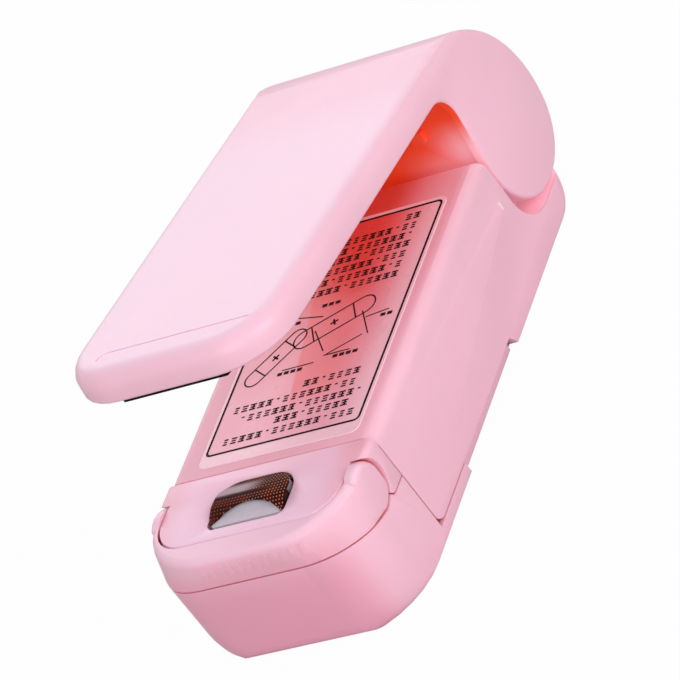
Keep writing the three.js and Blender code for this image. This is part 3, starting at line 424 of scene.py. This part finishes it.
def front_shade_share(shade, x, y, z, high, low):
    """Share of the painted shade on the nose's front, which grows from the height high down to low."""
    middle = shade.band(shade.absolute(x), 19.5 * MM, 14 * MM)
    return shade.product(middle, shade.band(y, -36 * MM, -42 * MM), shade.band(z, high, low))


def nose_pink():
    """The nose's plastic, with painted shade on its front."""
    shade = pink_shade("nose_plastic")
    front = front_shade_share(shade, *shade.axes(), 24 * MM, 12 * MM)
    shade.link(shade.mix(front, shade.tone, NOSE_FRONT_SHADE_PINK), "Base Color")
    return shade.material


def guard_pink():
    """The guard's plastic, with painted shade on its front and a painted highlight along its top edge."""
    shade = pink_shade("guard_plastic")
    x, y, z = shade.axes()
    # Painted shade on the front, and a painted highlight along the top edge
    front = front_shade_share(shade, x, y, z, 22 * MM, 16 * MM)
    edge = shade.product(shade.band(z, 21.8 * MM, 22.8 * MM), 0.6)
    tone = shade.mix(front, shade.tone, GUARD_FRONT_SHADE_PINK)
    shade.link(shade.mix(edge, tone, GUARD_EDGE_HIGHLIGHT_PINK), "Base Color")
    return shade.material


def panel_pink():
    """The panel's plastic, with painted light making it paler in the middle."""
    shade = pink_shade("panel_plastic")
    x = shade.axes()[0]
    middle = shade.band(shade.absolute(x), 18 * MM, 12 * MM)
    shade.link(shade.mix(middle, shade.tone, PANEL_LIT_PINK), "Base Color")
    return shade.material


def cover_pink():
    """The cover's plastic: painted red light from the lever on its rear, a painted glow in the cradle and
    painted glints on two nubs.
    """
    shade = pink_shade("cover_plastic")
    x, y, z = shade.axes()
    aside = shade.absolute(x)
    top = shade.band(z, 18 * MM, BODY_TOP)
    # Painted red light from the lever's hollow on the rear of the top
    lit = shade.product(shade.band(y, 8 * MM, 37 * MM), shade.band(aside, 17 * MM, 2 * MM, 0.0, 0.9), top)
    deep = shade.product(shade.band(aside, 12 * MM, 3.5 * MM), shade.band(y, 20 * MM, 33 * MM), top)
    inner = shade.below(aside, HALF_WIDTH - 0.4 * MM)
    # Painted glow in the cradle
    cradle = shade.product(inner, shade.band(y, 38 * MM, 39 * MM), shade.band(z, 20 * MM, 14 * MM), 0.5)
    tone = shade.mix(lit, shade.tone, WARM_LIGHT_RED)
    tone = shade.mix(cradle, tone, PALE_GLOW_RED)
    tone = shade.mix(deep, tone, DEEP_LIGHT_RED)
    # Painted glint on the nubs
    nub_glint = shade.maths("GREATER_THAN", aside, HALF_WIDTH + 0.03 * MM)
    shade.link(shade.mix(nub_glint, tone, NUB_GLINT_PINK), "Base Color")
    shade.set("Emission Color", (*PALE_GLOW_RED, 1))
    shade.link(shade.product(cradle, CRADLE_GLOW), "Emission Strength")
    return shade.material


def metal(name, colour, roughness, stretch=(1, 1, 1)):
    """Brushed metal, its lines drawn out along a stretched axis."""
    shade = Shade(name, colour, roughness, Metallic=1.0)
    line = shade.noise(BRUSH_SCALE, 3, stretch)
    shade.link(shade.mix(line, colour, scaled(colour, 0.8)), "Base Color")
    shade.grain(line, roughness - 0.08, roughness + 0.1)
    shade.bump(line, 0.1, 0.02 * MM)
    return shade.material


def plain_plastic(name, colour, roughness, **sockets):
    """Plastic or rubber of one colour with a fine fleck."""
    shade = Shade(name, colour, roughness, **sockets)
    fleck = shade.noise(FLECK_SCALE, 3)
    shade.link(shade.mix(fleck, colour, scaled(colour, 0.86)), "Base Color")
    shade.grain(fleck, roughness - 0.06, roughness + 0.08)
    shade.bump(fleck, 0.15, 0.04 * MM)
    return shade.material


def label_margin(shade, x, y):
    """1 on the film outside the printed frame, 0 inside it."""
    right = shade.band(x, FRAME_RIGHT - 0.1 * MM, FRAME_RIGHT + 0.1 * MM)
    left = shade.band(x, FRAME_LEFT + 0.2 * MM, FRAME_LEFT)
    rear = shade.band(y, FRAME_REAR - 0.1 * MM, FRAME_REAR + 0.1 * MM)
    front = shade.band(y, FRAME_FRONT + 0.15 * MM, FRAME_FRONT - 0.05 * MM)
    return shade.larger(shade.larger(right, left), shade.larger(rear, front))


def label_film():
    """Glossy film over the pink cover, with painted red light and painted shade from the lever, a painted
    reflection with a slanted edge, and painted light on its right side and margin.
    """
    shade = Shade("label_film", PINK, 0.3)
    x, y = shade.axes()[:2]
    aside = shade.absolute(x)
    # Painted shade cast by the lever, and painted red light from its hollow
    cast = shade.product(shade.band(y, -6 * MM, 20 * MM), shade.band(aside, 15 * MM, 4 * MM))
    red = shade.product(shade.band(y, 6 * MM, 17 * MM), shade.band(aside, 11.5 * MM, 3 * MM))
    # Painted reflection of the lever, with a slanted edge
    slant = shade.maths("ADD", x, shade.product(y, MIRROR_SLOPE))
    mirror = shade.product(
        shade.band(slant, -2.4 * MM, -1.9 * MM),
        shade.band(x, 14 * MM, 5 * MM),
        shade.band(y, -15 * MM, -8 * MM, 0.0, 0.8),
    )
    # Painted light on the right side
    tone = shade.mix(shade.band(x, 10 * MM, 16 * MM), LABEL_PINK, LABEL_SIDE_LIT_PINK)
    tone = shade.mix(cast, tone, LABEL_CAST_SHADE)
    tone = shade.mix(mirror, tone, LABEL_MIRROR)
    tone = shade.mix(red, tone, LABEL_RED_LIGHT)
    # Painted light on the margin outside the printed frame
    shade.link(shade.mix(label_margin(shade, x, y), tone, LABEL_MARGIN_LIT_PINK), "Base Color")
    wave = shade.noise(WAVE_SCALE, 2)
    shade.grain(wave, 0.26, 0.36)
    shade.bump(wave, 0.02, 0.1 * MM)
    return shade.material


def glass_cloth():
    """Brown coated weave: threads both ways, a painted pale sheen behind the ridge and painted shade along
    the crease on it.
    """
    shade = Shade("glass_cloth", CLOTH_BROWN, 0.55, Specular_IOR_Level=0.05)
    x, y = shade.axes()[:2]
    turn = 2 * math.pi / THREAD_PITCH
    across = shade.maths("SINE", shade.product(shade.maths("ADD", x, y), turn))
    along = shade.maths("SINE", shade.product(shade.maths("SUBTRACT", x, y), turn))
    knot = shade.product(across, along)
    patch = shade.noise(PATCH_SCALE, 3)
    dots = shade.product(shade.band(knot, 0.55, 0.95), shade.band(x, -6 * MM, 5 * MM, 0.3, 0.9))
    # Painted sheen behind the ridge
    sheen = shade.product(
        shade.band(y, RIDGE_Y + 0.5 * MM, RIDGE_Y + 1.2 * MM),
        shade.band(y, RIDGE_Y + 3.6 * MM, RIDGE_Y + 2.4 * MM),
        shade.band(x, 2.5 * MM, -2.5 * MM),
        0.85,
    )
    # Painted shade along the crease
    crease = shade.product(
        shade.band(y, RIDGE_Y - 0.1 * MM, RIDGE_Y + 0.15 * MM),
        shade.band(y, RIDGE_Y + 0.6 * MM, RIDGE_Y + 0.3 * MM),
        shade.band(x, 5 * MM, 2 * MM),
    )
    tone = shade.mix(shade.band(patch, 0.35, 0.65), CLOTH_BROWN, CLOTH_DARK)
    tone = shade.mix(dots, tone, CLOTH_DOT)
    tone = shade.mix(sheen, tone, CLOTH_SHEEN)
    shade.link(shade.mix(crease, tone, CLOTH_CREASE_SHADE), "Base Color")
    shade.link(shade.band(knot, -1, 1, 0.6, 0.45), "Roughness")
    shade.bump(knot, 0.4, 0.06 * MM)
    return shade.material


def heater_bar():
    """Pale heat-proof bar, with painted shade at its ends."""
    shade = Shade("silicone", BAR_PALE, 0.5)
    x = shade.axes()[0]
    fleck = shade.noise(FLECK_SCALE, 3)
    # Painted shade at the ends
    end = shade.band(shade.absolute(x), 6.4 * MM, 6.9 * MM)
    tone = shade.mix(fleck, BAR_PALE, BAR_GREY)
    shade.link(shade.mix(end, tone, BAR_END_SHADE), "Base Color")
    shade.grain(fleck, 0.44, 0.58)
    shade.bump(fleck, 0.15, 0.04 * MM)
    return shade.material


def cell_wrap():
    """Sleeve of a dry cell: blue, and silver from its shoulder to its positive end."""
    shade = Shade("cell_wrap", WRAP_BLUE, 0.3)
    x, y = shade.axes()[:2]
    left = shade.band(x, 0.1 * MM, -0.1 * MM)
    right = shade.maths("SUBTRACT", 1.0, left)
    near_front = shade.band(y, -17 * MM, -17.4 * MM)
    near_rear = shade.band(y, 28 * MM, 28.4 * MM)
    end = shade.maths("ADD", shade.product(left, near_front), shade.product(right, near_rear))
    shade.link(shade.mix(end, WRAP_BLUE, WRAP_SILVER), "Base Color")
    shade.grain(shade.noise(SCUFF_SCALE, 4), 0.24, 0.4)
    return shade.material


def dress(material, *names):
    for name in names:
        data = nodes[name].data
        data.materials.clear()
        data.materials.append(material)


# Smooth shading with crisp edges, on the imported meshes


def tree_of(name, build):
    """The geometry node group of that name, built on its first call."""
    if name in bpy.data.node_groups:
        return bpy.data.node_groups[name]
    tree = bpy.data.node_groups.new(name, "GeometryNodeTree")
    tree.interface.new_socket("Geometry", in_out="INPUT", socket_type="NodeSocketGeometry")
    tree.interface.new_socket("Geometry", in_out="OUTPUT", socket_type="NodeSocketGeometry")
    start = tree.nodes.new("NodeGroupInput")
    end = tree.nodes.new("NodeGroupOutput")
    tree.links.new(build(tree, start.outputs[0]), end.inputs[0])
    return tree


def welding(tree, geometry):
    """Joins the corners of neighbouring faces and drops the imported normals."""
    plain = tree.nodes.new("GeometryNodeRemoveAttribute")
    plain.inputs["Name"].default_value = "custom_normal"
    tree.links.new(geometry, plain.inputs["Geometry"])
    merge = tree.nodes.new("GeometryNodeMergeByDistance")
    merge.inputs["Distance"].default_value = WELD_DISTANCE
    tree.links.new(plain.outputs[0], merge.inputs["Geometry"])
    return merge.outputs[0]


def smoothing(tree, geometry):
    """Smooth faces, with the edges above the smoothing angle kept sharp."""
    angle = tree.nodes.new("GeometryNodeInputMeshEdgeAngle")
    compare = tree.nodes.new("FunctionNodeCompare")
    compare.operation = "LESS_EQUAL"
    compare.inputs["B"].default_value = SMOOTH_ANGLE
    faces = tree.nodes.new("GeometryNodeSetShadeSmooth")
    edges = tree.nodes.new("GeometryNodeSetShadeSmooth")
    edges.domain = "EDGE"
    tree.links.new(angle.outputs["Unsigned Angle"], compare.inputs["A"])
    tree.links.new(geometry, faces.inputs["Geometry"])
    tree.links.new(faces.outputs[0], edges.inputs["Geometry"])
    tree.links.new(compare.outputs[0], edges.inputs["Shade Smooth"])
    return edges.outputs[0]


def smooth(target, bevel=0.0):
    """Shades faces smoothly up to their sharp edges, which are rounded first where bevel is above zero."""
    target.modifiers.new("weld", "NODES").node_group = tree_of("weld_faces", welding)
    if bevel:
        flat = target.modifiers.new("flat_faces", "DECIMATE")
        flat.decimate_type = "DISSOLVE"
        flat.angle_limit = FLAT_ANGLE
        rounding = target.modifiers.new("rounding", "BEVEL")
        rounding.width = bevel
        rounding.segments = 2
        rounding.limit_method = "ANGLE"
        rounding.angle_limit = ROUNDING_ANGLE
        rounding.use_clamp_overlap = True
    target.modifiers.new("smoothing", "NODES").node_group = tree_of("smooth_by_angle", smoothing)


# New pieces


def new_piece(name, builder, material, body):
    """Adds the builder's mesh as a piece on a body."""
    mesh = bpy.data.meshes.new(name)
    bmesh.ops.recalc_face_normals(builder, faces=builder.faces)
    builder.to_mesh(mesh)
    builder.free()
    mesh.materials.append(material)
    piece = bpy.data.objects.new(name, mesh)
    bpy.context.scene.collection.objects.link(piece)
    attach(piece, body)


def prism(builder, corners, low, high):
    """Closed prism over an outline of (x, y) corners."""
    foot = [builder.verts.new((x, y, low)) for x, y in corners]
    head = [builder.verts.new((x, y, high)) for x, y in corners]
    builder.faces.new(foot[::-1])
    builder.faces.new(head)
    for index, corner in enumerate(foot):
        after = (index + 1) % len(foot)
        builder.faces.new((corner, foot[after], head[after], head[index]))


def ring(builder, outer, inner, low, high):
    """Closed band between two outlines with equally many corners."""
    sections = ((outer, low), (outer, high), (inner, high), (inner, low))
    loops = [[builder.verts.new((x, y, z)) for x, y in line] for line, z in sections]
    for side, here in enumerate(loops):
        there = loops[(side + 1) % len(loops)]
        for index in range(len(here)):
            after = (index + 1) % len(here)
            builder.faces.new((here[index], here[after], there[after], there[index]))


def rounded(x0, x1, y0, y1, radius, steps=6):
    """Corners of a rectangle with round corners, in metres."""
    centres = (
        (x1 - radius, y1 - radius, 0),
        (x0 + radius, y1 - radius, 90),
        (x0 + radius, y0 + radius, 180),
        (x1 - radius, y0 + radius, 270),
    )
    points = []
    for centre_x, centre_y, start in centres:
        for step in range(steps + 1):
            angle = math.radians(start + 90 * step / steps)
            points.append((centre_x + radius * math.cos(angle), centre_y + radius * math.sin(angle)))
    return points


def turned(points, centre, degrees):
    """Points turned about the origin and then moved to the centre."""
    angle = math.radians(degrees)
    cosine = math.cos(angle)
    sine = math.sin(angle)
    return [(centre[0] + cosine * x - sine * y, centre[1] + sine * x + cosine * y) for x, y in points]


def ink_bar(builder, x, y, length, width, degrees=0):
    """Flat bar of ink on the label, all lengths in millimetres."""
    half = length * MM / 2
    across = width * MM / 2
    corners = [(-half, -across), (half, -across), (half, across), (-half, across)]
    prism(builder, turned(corners, (x * MM, y * MM), degrees), INK_LOW, INK_HIGH)


def cell_outline(x, y, length, width, degrees):
    """Outline of a dry cell in the picture, all lengths in millimetres."""
    half = length * MM / 2
    across = width * MM / 2
    corners = rounded(-half, half, -across, across, 0.98 * across, 8)
    return turned(corners, (x * MM, y * MM), degrees)


def label_frame(ink):
    """Printed line round the label."""
    builder = bmesh.new()
    outer = rounded(FRAME_LEFT, FRAME_RIGHT, FRAME_FRONT, FRAME_REAR, FRAME_CORNER)
    inner = rounded(
        FRAME_LEFT + FRAME_LINE,
        FRAME_RIGHT - FRAME_LINE,
        FRAME_FRONT + FRAME_LINE,
        FRAME_REAR - FRAME_LINE,
        FRAME_INNER_CORNER,
    )
    ring(builder, outer, inner, INK_LOW, INK_HIGH)
    new_piece("label_frame", builder, ink, "base")


def label_text(ink):
    """Rows of small groups of plain bars, and some short single bars, in the place of the printed text."""
    builder = bmesh.new()
    for row, (y, left, right) in enumerate(TEXT_ROWS):
        for index in range(int((right - left) / TEXT_PITCH)):
            x = right - TEXT_PITCH * (index + 0.5)
            kind = (index * 5 + row * 3) % (len(GROUP_WIDTHS) + 1)
            if kind == len(GROUP_WIDTHS):
                ink_bar(builder, x, y + 0.4, 0.5, 0.3)
                continue
            for height, share, stroke in GROUP_BARS:
                ink_bar(builder, x, y + height, GROUP_WIDTHS[kind] * share, stroke)
            if kind % 2 == 0:
                ink_bar(builder, x + 0.1, y, 0.3, 0.78)
    new_piece("label_text_bars", builder, ink, "base")


def label_picture(ink):
    """Two plain dry cells, each with two stripes and a cross, then leader lines and blocks."""
    builder = bmesh.new()
    for x, y, length, width, degrees in PICTURE_CELLS:
        outer = cell_outline(x, y, length, width, degrees)
        inner = cell_outline(x, y, length - 2 * PICTURE_LINE, width - 2 * PICTURE_LINE, degrees)
        ring(builder, outer, inner, INK_LOW, INK_HIGH)
        angle = math.radians(degrees)
        for share in (-0.26, 0.24):
            stripe_x = x + share * length * math.cos(angle)
            stripe_y = y + share * length * math.sin(angle)
            ink_bar(builder, stripe_x, stripe_y, width - 0.5, PICTURE_LINE, degrees + 90)
        ink_bar(builder, x, y, 1.5, 0.36, degrees)
        ink_bar(builder, x, y, 1.5, 0.36, degrees + 90)
    for x, y, length, degrees in LEADERS:
        ink_bar(builder, x, y, length, 0.22, degrees)
    for x, y, length in CAPTIONS:
        for part in range(max(1, int(length / CAPTION_PITCH))):
            ink_bar(builder, x - length / 2 + CAPTION_PITCH * (part + 0.5), y, 0.95, 0.7)
    new_piece("label_picture", builder, ink, "base")


# Stage


def area_light(name, place, target, size, power, colour):
    data = bpy.data.lights.new(name, "AREA")
    data.shape = "RECTANGLE"
    data.size, data.size_y = size
    data.energy = power
    data.color = colour
    light = bpy.data.objects.new(name, data)
    bpy.context.scene.collection.objects.link(light)
    light.location = place
    light.rotation_mode = "QUATERNION"
    light.rotation_quaternion = (Vector(target) - Vector(place)).to_track_quat("-Z", "Y")


def make_world():
    """White where it is seen directly or in a reflection, dimmer as a light on the part."""
    scene = bpy.context.scene
    scene.view_settings.view_transform = "Standard"
    world = bpy.data.worlds.new("studio")
    scene.world = world
    world.use_nodes = True
    tree = world.node_tree
    background = tree.nodes["Background"]
    background.inputs["Color"].default_value = (1, 1, 1, 1)
    path = tree.nodes.new("ShaderNodeLightPath")
    seen = path.outputs["Is Camera Ray"]
    for ray in ("Is Glossy Ray", "Is Transmission Ray"):
        either = tree.nodes.new("ShaderNodeMath")
        either.operation = "MAXIMUM"
        tree.links.new(seen, either.inputs[0])
        tree.links.new(path.outputs[ray], either.inputs[1])
        seen = either.outputs[0]
    strength = tree.nodes.new("ShaderNodeMapRange")
    strength.inputs["To Min"].default_value = WORLD_LIGHT
    strength.inputs["To Max"].default_value = 1.0
    tree.links.new(seen, strength.inputs["Value"])
    tree.links.new(strength.outputs[0], background.inputs["Strength"])


def make_floor():
    """Grey floor for shadows, which the camera sees as almost white."""
    builder = bmesh.new()
    bmesh.ops.create_grid(builder, x_segments=8, y_segments=8, size=FLOOR_HALF)
    mesh = bpy.data.meshes.new("floor")
    builder.to_mesh(mesh)
    builder.free()
    floor = bpy.data.objects.new("floor", mesh)
    floor.location = (0, 0, FLOOR_HEIGHT)
    bpy.context.scene.collection.objects.link(floor)
    shade = Shade("floor", FLOOR_GREY, 0.9)
    glow = shade.add("Emission", {"Color": (1, 1, 1, 1), "Strength": 1.0})
    path = shade.add("LightPath")
    share = shade.product(path.outputs["Is Camera Ray"], FLOOR_WHITE_SHARE)
    mixer = shade.add("MixShader", {0: share, 1: shade.shader.outputs[0], 2: glow.outputs[0]})
    shade.links.new(mixer.outputs[0], shade.nodes["Material Output"].inputs["Surface"])
    mesh.materials.append(shade.material)


def make_stage():
    make_world()
    make_floor()
    for name, (place, target, size, power, colour) in LIGHTS.items():
        area_light(name, place, target, size, power, colour)


def dress_nodes():
    dress(nose_pink(), "lower_case")
    dress(guard_pink(), "safety_guard")
    dress(pink_shade("door_plastic").material, "battery_door")
    dress(panel_pink(), "heater_panel")
    dress(cover_pink(), "upper_case")
    dress(lever_pink(), "lever")
    dress(label_film(), "instruction_label")
    dress(
        metal("steel", STEEL, 0.3, (0.1, 1, 1)),
        "guard_pin_left",
        "guard_pin_right",
        "hinge_pin",
        "lever_spring",
        "heater_spring_left",
        "heater_spring_right",
        "battery_spring_front",
        "battery_spring_rear",
        "screw_front_left",
        "screw_front_right",
        "screw_rear_left",
        "screw_rear_right",
        "contact_plate_positive",
        "contact_plate_negative",
        "bridge_plate",
    )
    dress(
        metal("brass", BRASS, 0.32),
        "switch_contact_fixed",
        "switch_contact_moving",
        "ribbon_terminal_left",
        "ribbon_terminal_right",
    )
    dress(metal("nichrome", NICHROME, 0.4), "heater_ribbon")
    dress(plain_plastic("carrier_plastic", CARRIER_BROWN, 0.5), "heater_carriage")
    dress(heater_bar(), "heater_base")
    dress(glass_cloth(), "heater_cloth")
    dress(plain_plastic("black_rubber", RUBBER_BLACK, 0.8, Specular_IOR_Level=0.15), "rubber_pad")
    dress(cell_wrap(), "battery_left", "battery_right")
    dress(plain_plastic("red_sleeve", SLEEVE_RED, 0.4), "wire_positive")
    dress(plain_plastic("black_sleeve", SLEEVE_BLACK, 0.4), "wire_negative")


make_camera()
make_stage()
dress_nodes()

for name, target in nodes.items():
    smooth(target, SOFT_EDGES.get(name, 0.0))

ink = plain_plastic("label_ink", INK, 0.7, Specular_IOR_Level=0.15)
label_frame(ink)
label_text(ink)
label_picture(ink)
